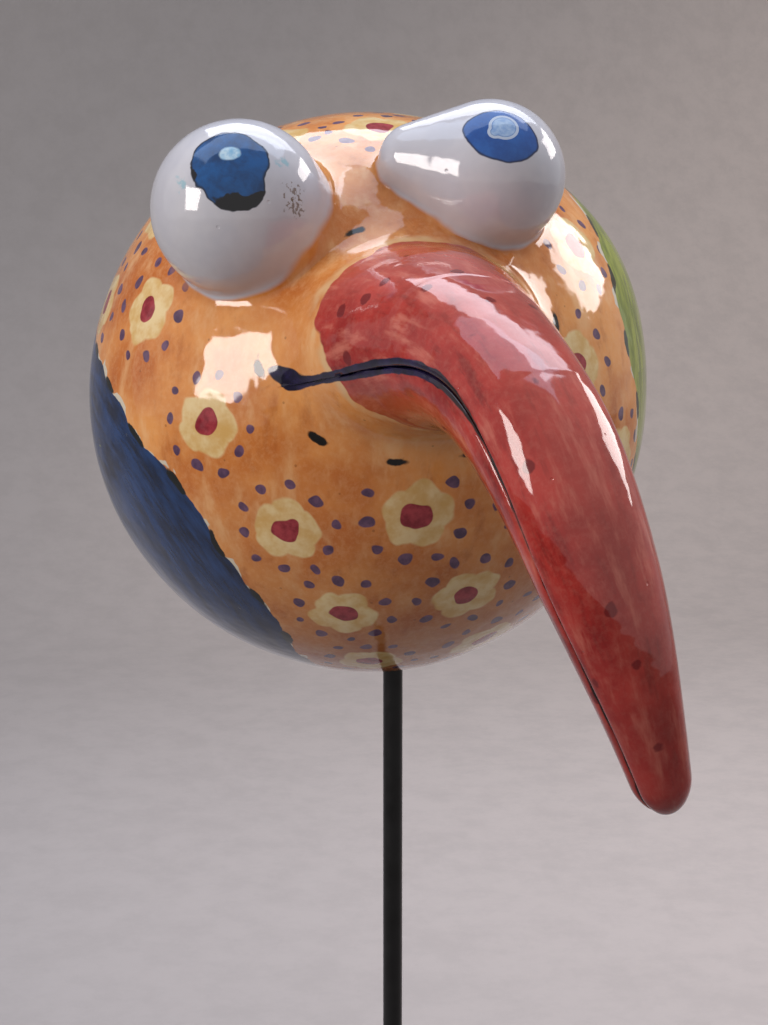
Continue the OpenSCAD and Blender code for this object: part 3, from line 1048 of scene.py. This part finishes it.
def large_iris(tree, white, place):
    """A round iris that ran down a little, with black below and a pale spot."""
    flat, _, height, _ = stored(tree, "large_eye")
    for tone, middles, radius, wobble, cover in (STAIN, DIRT):
        for middle in middles:
            mark = wavering(tree, spot_distance(tree, flat, middle, radius), place, *wobble)
            white = laid_over(tree, white, tone, mark, *cover)
    spots = [spot_distance(tree, flat, *spot) for spot in LARGE_SPOTS]
    iris = add(tree, "Math SMOOTH_MIN", (*spots, SPOT_MELT))
    iris = wavering(tree, iris, place, *LARGE_WOBBLE)
    colour = iris_paint(tree, white, place, iris, LARGE_RIM, LARGE_BLUE, SOFT_BLUE)
    below = wavering(tree, add(tree, "Math ADD", (height, -BELOW_HEIGHT)), place, *BELOW_WOBBLE)
    side = wavering(tree, spot_distance(tree, flat, *SIDE_SPOT), place, *SIDE_WOBBLE)
    for black, area in ((BELOW, below), (SIDE, side)):
        colour = painted(tree, colour, black, add(tree, "Math MAXIMUM", (area, iris)), SOFT)
    glint = wavering(tree, spot_distance(tree, flat, *GLINT_SPOT), place, *GLINT_WOBBLE)
    return painted(tree, colour, mottled(tree, place, *LARGE_GLINT), glint, SOFT)


# %% Small iris and white
ALMOND_TILT = math.radians(-30)
ALMOND_R, ALMOND_SHIFT, ALMOND_MELT, ALMOND_WOBBLE = 11.9, 3.4, 1.2, (6, 0.3)
SMALL_RIM, SMALL_BLUE = "#13264F", (5, "#1A4C96", "#255FAC", 4.0, 0.65)
SMALL_GLINT, GLINT_MELT = (2, "#7FA0CF", "#A9C2DE"), 0.6
GLINT_SPOTS = (((1.1, 1.8), 3.3), ((-1.8, 0.6), 1.2))
RING, RING_PLACE, RING_HALF, RING_SHARE = "#D5E0EA", 0.5, 0.4, 0.7
WHITE, WHITE_WOBBLE, WHITE_SOFT = (16, "#D6D9DE", "#E6E7E8"), (15, 0.55), 0.6
# painted shade along the crease round each eye: the orange darkens towards the white, and the white turns a
# darker lilac towards the orange, partly where it is thin and partly as painted shade
ORANGE_CREASE_SHADE, ORANGE_SHADE_COVER = "#C0701F", (4.0, 0.5, 0.5)
LILAC_CREASE_SHADE, LILAC_SHADE_COVER = "#A8A3B4", (-5.0, 0.5, 0.5)


def small_iris(tree, white, place):
    """An almond iris with a round pale spot."""
    flat = add(tree, "Attribute", out="Vector", attribute_name="small_eye")
    tilted = add(tree, "Mapping", {"Vector": flat, "Rotation": (0, 0, -ALMOND_TILT)})
    circles = [spot_distance(tree, tilted, (0, side * ALMOND_SHIFT), ALMOND_R) for side in (1, -1)]
    almond = add(tree, "Math SMOOTH_MAX", (*circles, ALMOND_MELT))
    almond = wavering(tree, almond, place, *ALMOND_WOBBLE)
    colour = iris_paint(tree, white, place, almond, SMALL_RIM, SMALL_BLUE, SOFT)
    glint = [spot_distance(tree, flat, *spot) for spot in GLINT_SPOTS]
    glint = add(tree, "Math SMOOTH_MIN", (*glint, GLINT_MELT))
    colour = painted(tree, colour, mottled(tree, place, *SMALL_GLINT), glint, SOFT)
    ring = add(tree, "Math COMPARE", (glint, RING_PLACE, RING_HALF))
    return laid_over(tree, colour, RING, ring, 0.0, 1.0, RING_SHARE)


def eye_marks(tree, ground, place):
    """White glaze up to the crease and the two irises."""
    edge = stored(tree, "brush")[2]
    # painted shade on both sides of the crease round the white
    ground = laid_over(tree, ground, ORANGE_CREASE_SHADE, edge, *ORANGE_SHADE_COVER)
    white = laid_over(tree, mottled(tree, place, *WHITE), LILAC_CREASE_SHADE, edge, *LILAC_SHADE_COVER)
    white = small_iris(tree, large_iris(tree, white, place), place)
    return painted(tree, ground, white, wavering(tree, edge, place, *WHITE_WOBBLE), WHITE_SOFT)


# %% [markdown]
# ### Beak
# The beak's red is a transparent glaze over an orange slip. It was stroked on lengthwise, so it has long
# streaks, deep red where it is thick and pink or orange where it is thin, above all under the mouth. The pink
# along the upper side is partly thin glaze on the ridge and partly a painted reflection of the light from
# above. Round its start the orange stops short of it, and a cream band of bare slip shows. Dark pits are
# bubbles that burst in the kiln. A ring of short black dashes was painted round the root.

# %% Beak paint
ROOT_DASHES = 10
DASH_OUT, DASH_HALF, DASH_THICK, DASH_RING_R = 6.0, 3.2, 0.85, 42
DASH_OFF_WHITE, DASH_INK, DASH_SWAY = 5.0, "#14120F", (4, 0.3)
DASHES_END = (-8.0, -16.0, -3.0, 3.0)
STREAK_STRETCH = 5
SLIP, SLIP_SIZE, SLIP_COVER = "#E3BC8A", 13, (0.36, 0.56, 0.9)
SLIP_FROM_ROOT, SLIP_FROM_RED = (6.5, 2.0), (5.5, 1.5)
RED, RED_WOBBLES, RED_SOFT = (19, "#961E1A", "#BC3A31"), ((16, 2.6), (6, 0.8)), 0.5
RED_LAYERS = (
    ("#D9806C", "streaks", 0.5, 0.74, 0.7),
    ("#6E0E0E", "streaks", 0.48, 0.3, 0.65),
    ("#D08472", "grain", 0.4, 0.7, 0.14),
    ("#701310", "along", 150.0, 260.0, 0.6),
    # partly painted reflection: the upper side is painted pinker, as thin glaze on the ridge and as the light
    # from above
    ("#CB6C5C", "up", 6.0, 22.0, 0.4),
    ("#B4552F", "up", -5.0, -17.0, 0.5),
    ("#6E0F13", "pits", 0.15, 0.11, 0.85),
)


def beak_marks(tree, ground, place):
    """The red of the beak, its cream band and the dashes round it."""
    edge, white = stored(tree, "brush")[1:3]
    unbent, u, v, along = stored(tree, "unbent")
    root = add(tree, "Attribute", out="Fac", attribute_name="root")
    lengthwise = add(tree, "Mapping", {"Vector": unbent, "Scale": (MM, MM, MM / STREAK_STRETCH)})
    values = {
        "along": along,
        "up": v,
        "streaks": add(tree, "TexNoise", sized(lengthwise, 5, Detail=4, Roughness=0.6)),
        "grain": add(tree, "TexNoise", sized(place, 2, Detail=3, Roughness=0.7)),
        "pits": wavering(tree, add(tree, "TexVoronoi", sized(place, 14)), place, 3, 0.03),
    }
    red = layered(tree, mottled(tree, place, *RED), values, RED_LAYERS)
    for spot, wobble in zip((place, lengthwise), RED_WOBBLES):
        edge = wavering(tree, edge, spot, *wobble)
    patches = add(tree, "TexNoise", sized(place, SLIP_SIZE))
    bare = laid_over(tree, ground, SLIP, patches, *SLIP_COVER)
    bare = laid_over(tree, ground, bare, root, *SLIP_FROM_ROOT)
    colour = laid_over(tree, ground, bare, edge, *SLIP_FROM_RED)
    aside = add(tree, "Math PINGPONG", (add(tree, "Math ARCTAN2", (v, u)), math.pi / ROOT_DASHES))
    aside = add(tree, "Math MULTIPLY", (aside, DASH_RING_R))
    dash = add(tree, "CombineXYZ", (aside, root))
    dash = spot_distance(tree, dash, (0, DASH_OUT), DASH_THICK, DASH_HALF / DASH_THICK)
    dash = wavering(tree, dash, place, *DASH_SWAY)
    behind = add(tree, "MapRange", (along, *DASHES_END))
    near_white = add(tree, "Math SUBTRACT", (DASH_OFF_WHITE, white))
    for kept_off in (behind, near_white):
        dash = add(tree, "Math MAXIMUM", (dash, kept_off))
    return painted(tree, painted(tree, colour, DASH_INK, dash), red, edge, RED_SOFT)


# %% [markdown]
# ### Mouth line
# The mouth was drawn with one stroke of a loaded brush of manganese black and cobalt. It begins with a
# slanting blob at the corner of the mouth, swells along the beak, thins where it runs into the fold between
# the lips, and goes from navy to brown.

# %% Mouth line
MOUTH_END, MOUTH_RUN = 36, 60
MOUTH_HALF, MOUTH_HALF_LOADED, MOUTH_HALF_IN_FOLD = 1.5, 2.1, 1.0
MOUTH_LOADS, MOUTH_FOLDS, MOUTH_BROWNS = (25.0, 70.0), (88.0, 115.0), (70.0, 105.0)
INK, BROWN_INK, INK_WOBBLE = (6, "#0D0C1E", "#2A234C"), "#260D0E", (7, 0.3)
BLOB = {"Location": (37.0, 2.4, 0), "Rotation": (0, 0, math.radians(42)), "Scale": (1.9, 1, 1)}
BLOB_R, BLOB_MELT = 2.2, 2.5


def mouth_marks(tree, ground, place):
    """The dark line along the mouth with a blob at each corner."""
    line = stored(tree, "brush")[3]
    _, u, _, along = stored(tree, "unbent")
    across = add(tree, "Math ABSOLUTE", (u,))
    past = add(tree, "MapRange", (across, MOUTH_END, MOUTH_END + MOUTH_RUN, 0.0, MOUTH_RUN))
    away = add(tree, "VectorMath LENGTH", (add(tree, "CombineXYZ", (line, past)),), out="Value")
    loaded = add(tree, "MapRange", (along, *MOUTH_LOADS, MOUTH_HALF, MOUTH_HALF_LOADED))
    fold = add(tree, "MapRange", (along, *MOUTH_FOLDS, MOUTH_HALF_LOADED, MOUTH_HALF_IN_FOLD))
    edge = add(tree, "Math SUBTRACT", (away, add(tree, "Math MINIMUM", (loaded, fold))))
    blob = add(tree, "CombineXYZ", (across, line))
    blob = add(tree, "Mapping", {"Vector": blob, **BLOB}, vector_type="TEXTURE")
    blob = spot_distance(tree, blob, (0, 0), BLOB_R)
    edge = add(tree, "Math SMOOTH_MIN", (edge, blob, BLOB_MELT))
    behind = add(tree, "Math SUBTRACT", (BEAK_START, along))
    edge = add(tree, "Math MAXIMUM", (edge, behind))
    ink = laid_over(tree, mottled(tree, place, *INK), BROWN_INK, along, *MOUTH_BROWNS)
    return painted(tree, ground, ink, wavering(tree, edge, place, *INK_WOBBLE))


# %% [markdown]
# ### One painting, three glazes
# The whole painting is one node group that the three glazes share, so the colours meet where the pieces
# meet. A glaze has an IOR near 1.6 and a roughness near 0.07. It is half a millimetre thick, so its surface
# rolls gently, and that bends every reflection in it. Inside the rod's hole the glaze stops, because the head
# stood on a prop there in the kiln.

# %% Painting group
GLAZE_DEPTH, GLAZE_FADES = 1.6, 0.5
BARE_CLAY, BARE_ROUGH = "#B98A68", 0.85
GLOSS, GLOSS_SIZE = (0.05, 0.1), 9
ROLL_SIZE, ROLL_DEPTH = 24, 0.9
PINHOLE_SIZE, PINHOLES = 12, (0.02, 0.045, -0.12, 0.0)
PAINT_SOCKETS = {"Color": "Color", "Roughness": "Float", "Normal": "Vector"}


def painting_group():
    """Gives the colour, the roughness and the normal of the painted glaze."""
    tree = bpy.data.node_groups.new("brushwork", "ShaderNodeTree")
    for name, kind in PAINT_SOCKETS.items():
        tree.interface.new_socket(name, in_out="OUTPUT", socket_type="NodeSocket" + kind)
    place = add(tree, "TexCoord", out="Object")
    colour = blossom_marks(tree, orange_ground(tree, place), place)
    for name in FIELDS:
        colour = field_marks(tree, colour, place, name)
    for marks in (beak_marks, eye_marks, mouth_marks):
        colour = marks(tree, colour, place)
    away = add(tree, "VectorMath DISTANCE", (place, tuple(BALL_CENTRE * MM)), out="Value")
    glaze_ends = [(BALL_R - GLAZE_DEPTH - beyond) * MM for beyond in (0, GLAZE_FADES)]
    colour = laid_over(tree, colour, BARE_CLAY, away, *glaze_ends)
    bare = add(tree, "MapRange", (away, *glaze_ends, 0.0, BARE_ROUGH))
    gloss = add(tree, "TexNoise", sized(place, GLOSS_SIZE, Detail=3))
    gloss = add(tree, "MapRange", (gloss, *NOISE, *GLOSS))
    rough = add(tree, "Math MAXIMUM", (gloss, bare))
    rolls = add(tree, "TexNoise", sized(place, ROLL_SIZE, Detail=3, Roughness=0.5))
    holes = add(tree, "TexVoronoi", sized(place, PINHOLE_SIZE))
    holes = add(tree, "MapRange", (holes, *PINHOLES), interpolation_type="SMOOTHSTEP")
    height = add(tree, "Math ADD", (rolls, holes))
    normal = add(tree, "Bump", {"Strength": 1.0, "Distance": ROLL_DEPTH * MM, "Height": height})
    add(tree, "NodeGroupOutput", {"Color": colour, "Roughness": rough, "Normal": normal})
    print("the painting has", len(tree.nodes), "nodes")
    return tree


brushwork = painting_group()


# %% Glazes
def new_material(name, draw):
    """A material whose shader takes its inputs from a function that draws them in the tree."""
    material = bpy.data.materials.new(name)
    material.use_nodes = True
    tree = material.node_tree
    tree.nodes.clear()
    shader = add(tree, "BsdfPrincipled", draw(tree))
    add(tree, "OutputMaterial", {"Surface": shader})
    return material


def glaze(ior):
    """A majolica glaze with the shared painting under it."""
    def draw(tree):
        colour, rough, normal = add(tree, "Group", out=(0, 1, 2), node_tree=brushwork)
        return {"Base Color": colour, "IOR": ior, "Roughness": rough, "Normal": normal}
    return draw


GLAZES = {
    "painted_glaze": new_material("orange_majolica_glaze", glaze(1.6)),
    "white_glaze": new_material("white_tin_glaze", glaze(1.62)),
    "red_glaze": new_material("red_majolica_glaze", glaze(1.6)),
}

# %% [markdown]
# ### Rod, cap and tube
# The rod is mild steel with a black satin powder coat, which has a faint orange-peel surface. The grinder took
# the coat off its point, and its top end was never coated. The cap is moulded rubber. The tube is the same
# stoneware as the ball, fired but left bare.

# %% Powder-coated steel
COAT_TOP, COAT_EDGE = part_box("rod_cap")[0].z, 0.3 * MM
POINT_TOP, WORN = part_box("rod")[0].z + 15.5 * MM, (4, 1.2 * MM)
COAT, COAT_ROUGH = (12, "#070707", "#101011"), (0.28, 0.38)
STEEL, GRIND = (2, "#6E6C69", "#B4B1AC"), (1, 1, 6)
PEEL = {"Strength": 0.6, "Distance": 0.05 * MM}


def powder_coated_steel(tree):
    """Black satin coat with bare steel at both ends."""
    place = add(tree, "TexCoord", out="Object")
    height = add(tree, "SeparateXYZ", (place,), out=2)
    black = mottled(tree, place, *COAT)
    steel = mottled(tree, add(tree, "Mapping", {"Vector": place, "Scale": GRIND}), *STEEL)
    worn = wavering(tree, height, place, *WORN)
    coat = add(tree, "MapRange", (worn, POINT_TOP - MM, POINT_TOP + MM))
    bare = add(tree, "MapRange", (height, COAT_TOP, COAT_TOP + COAT_EDGE))
    coat = add(tree, "Math SUBTRACT", (coat, bare), use_clamp=True)
    peel = add(tree, "TexNoise", sized(place, 0.7, Detail=1))
    bump = add(tree, "Bump", {"Height": peel, **PEEL})
    rough = add(tree, "MapRange", (add(tree, "TexNoise", sized(place, 6)), *NOISE, *COAT_ROUGH))
    metal = add(tree, "Math SUBTRACT", (1.0, coat))
    colour = laid_over(tree, steel, black, coat, 0.0, 1.0)
    return {"Base Color": colour, "Roughness": rough, "Normal": bump, "Metallic": metal}


# %% Rubber and bare stoneware
RUBBER, RUBBER_ROUGH = (5, "#121212", "#242322"), (0.7, 0.85)
RUBBER_GRAIN = {"Strength": 0.5, "Distance": 0.04 * MM}
CLAY, CLAY_ROUGH = (9, "#A9785A", "#C79C7A"), (0.82, 0.95)
CLAY_GRAIN = {"Strength": 0.7, "Distance": 0.15 * MM}
GROG, GROG_SIZE, GROG_COVER = "#8A5C42", 2.5, (0.2, 0.1, 0.5)


def moulded_rubber(tree):
    """Matt black with the fine grain of its mould."""
    place = add(tree, "TexCoord", out="Object")
    grain = add(tree, "TexNoise", sized(place, 0.5))
    bump = add(tree, "Bump", {"Height": grain, **RUBBER_GRAIN})
    rough = add(tree, "MapRange", (grain, *NOISE, *RUBBER_ROUGH))
    return {"Base Color": mottled(tree, place, *RUBBER), "Roughness": rough, "Normal": bump}


def bare_stoneware(tree):
    """Rough fired clay with darker grog in it."""
    place = add(tree, "TexCoord", out="Object")
    grain = add(tree, "TexNoise", sized(place, 0.8, Detail=4, Roughness=0.7))
    grog = add(tree, "TexVoronoi", sized(place, GROG_SIZE))
    colour = laid_over(tree, mottled(tree, place, *CLAY), GROG, grog, *GROG_COVER)
    bump = add(tree, "Bump", {"Height": grain, **CLAY_GRAIN})
    rough = add(tree, "MapRange", (grain, *NOISE, *CLAY_ROUGH))
    return {"Base Color": colour, "Roughness": rough, "Normal": bump}


SHOWN_NODES = {
    "rod": new_material("black_powder_coated_steel", powder_coated_steel),
    "rod_cap": new_material("black_moulded_rubber", moulded_rubber),
    "socket_tube": new_material("bare_fired_stoneware", bare_stoneware),
}
for name, material in SHOWN_NODES.items():
    nodes[name].data.materials.clear()
    nodes[name].data.materials.append(material)

# %% [markdown]
# ## Bodies
# Everything made here rides on the head. Each piece says which pieces of the frame it stands for.

# %% Bodies
STANDS_FOR = {
    ball: ("painted_glaze", "lower_bowl", "upper_bowl"),
    eyes["large_eye"]: ("white_glaze", "large_eye"),
    eyes["small_eye"]: ("white_glaze", "small_eye"),
    upper_beak: ("red_glaze", "upper_beak"),
    lower_beak: ("red_glaze", "lower_beak"),
}
for piece, (slot, *stood_for) in STANDS_FOR.items():
    piece.data.materials.clear()
    piece.data.materials.append(GLAZES[slot])
    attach(piece, "head")
    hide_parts(*stood_for)
print(len(STANDS_FOR), "pieces ride on the head")

# %% [markdown]
# ## Studio
# The head was photographed before a pale grey wall in soft light. Glaze shows its lamps as shapes, so they
# are rectangles like softboxes: one at the left, one at the right, a very wide one overhead and a wide one
# high up behind. The floor runs up into the wall in one curve, so that no line crosses the picture.

# %% Floor and wall
FLOOR_Z = cad_box[0].z
FRONT, SWEEP_START, SWEEP_R, SWEEP_WIDTH, WALL_TOP = -4.5, 2.0, 1.2, 9.0, 4.0
SWEEP_ANGLES = np.linspace(0, math.pi / 2, 25)
bend = [(SWEEP_START + SWEEP_R * math.sin(a), SWEEP_R * (1 - math.cos(a))) for a in SWEEP_ANGLES]
profile = [(FRONT, 0.0), *bend, (SWEEP_START + SWEEP_R, WALL_TOP)]
points = [(side * SWEEP_WIDTH / 2, y, z + FLOOR_Z) for y, z in profile for side in (-1, 1)]
faces = [(2 * i, 2 * i + 1, 2 * i + 3, 2 * i + 2) for i in range(len(profile) - 1)]
sweep_mesh = bpy.data.meshes.new("studio_sweep")
sweep_mesh.from_pydata(points, [], faces)
sweep_mesh.shade_smooth()
sweep = bpy.data.objects.new("studio_sweep", sweep_mesh)
bpy.context.scene.collection.objects.link(sweep)
sweep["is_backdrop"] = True


# %% Wall paint
SHADE_SLANT = (-0.9, 0, 1)
SEEN_RAYS = ("Is Camera Ray", "Is Glossy Ray", "Is Transmission Ray")
BOUNCE = "#6A6665"
WALL, MOTTLE_SIZE = "#ECDFD9", 45
WALL_LAYERS = (
    # painted shade on the wall: darker towards the top and the left
    ("#BEB9B9", "shade_slant", -1.0, 0.3, 1.0),
    ("#6B6664", "depth", 1.6, -0.4, 0.85),
    ("#8F8A88", "mottle", 0.35, 0.7, 0.14),
)


def plaster(tree):
    """Pale warm grey low on the right, painted darker towards the top and the left as painted shade, darker
    towards the front, with a faint mottle.

    It throws a darker grey onto other surfaces, so that little light reaches the head from below.
    """
    place = add(tree, "TexCoord", out="Object")
    values = {
        "shade_slant": add(tree, "VectorMath DOT_PRODUCT", (place, SHADE_SLANT), out="Value"),
        "depth": add(tree, "SeparateXYZ", (place,), out=1),
        "mottle": add(tree, "TexNoise", sized(place, MOTTLE_SIZE, Detail=6, Roughness=0.75)),
    }
    colour = layered(tree, WALL, values, WALL_LAYERS)
    seen, *others = add(tree, "LightPath", out=SEEN_RAYS)
    for ray in others:
        seen = add(tree, "Math MAXIMUM", (seen, ray))
    return {"Base Color": laid_over(tree, BOUNCE, colour, seen, 0.0, 1.0), "Roughness": 0.9}


sweep_mesh.materials.append(new_material("grey_plaster", plaster))

# %% Lamps
LAMPS = (  # name, turn, rise, distance in metres, width and height in metres, radiance, colour
    ("softbox_left", -74, 14, 1.3, (0.44, 0.5), 10.5, "#FFF6F1"),
    ("softbox_right", 105, 25, 1.3, (0.6, 0.45), 6.5, "#FFF7F4"),
    ("overhead", 180, 82, 1.5, (2.4, 0.8), 1.8, "#CFE2FF"),
    ("skylight_behind", 155, 56, 1.5, (1.6, 0.72), 3.6, "#EEF2FF"),
)
for name, turn, rise, away, size, radiance, colour in LAMPS:
    light = bpy.data.lights.new(name, "AREA")
    light.shape = "RECTANGLE"
    light.size, light.size_y = size
    light.energy = radiance * math.pi * light.size * light.size_y
    light.color = linear(colour)[:3]
    stand = bpy.data.objects.new(name, light)
    way = Vector(direction(turn, rise))
    stand.location = Vector(BALL_CENTRE * MM) + way * away
    stand.rotation_euler = way.to_track_quat("Z", "Y").to_euler()
    bpy.context.scene.collection.objects.link(stand)
    print(name, round(light.energy, 1), "W")

# %% World
AIR, AIR_STRENGTH = "#C9C6C6", 0.85
world = bpy.data.worlds.new("studio_air")
bpy.context.scene.world = world
world.use_nodes = True
world.node_tree.nodes.clear()
sky = add(world.node_tree, "Background", {"Color": AIR, "Strength": AIR_STRENGTH})
add(world.node_tree, "OutputWorld", {"Surface": sky})
bpy.context.scene.view_settings.view_transform = "Standard"

# %% [markdown]
# ## Size
# The box of the imported model and the box of the finished pieces are both printed, in millimetres.

# %% Size
visual_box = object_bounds()
for name, box in (("CAD", cad_box), ("visual", visual_box)):
    print(name, "box in mm:", [[round(x / MM, 2) for x in c] for c in box])
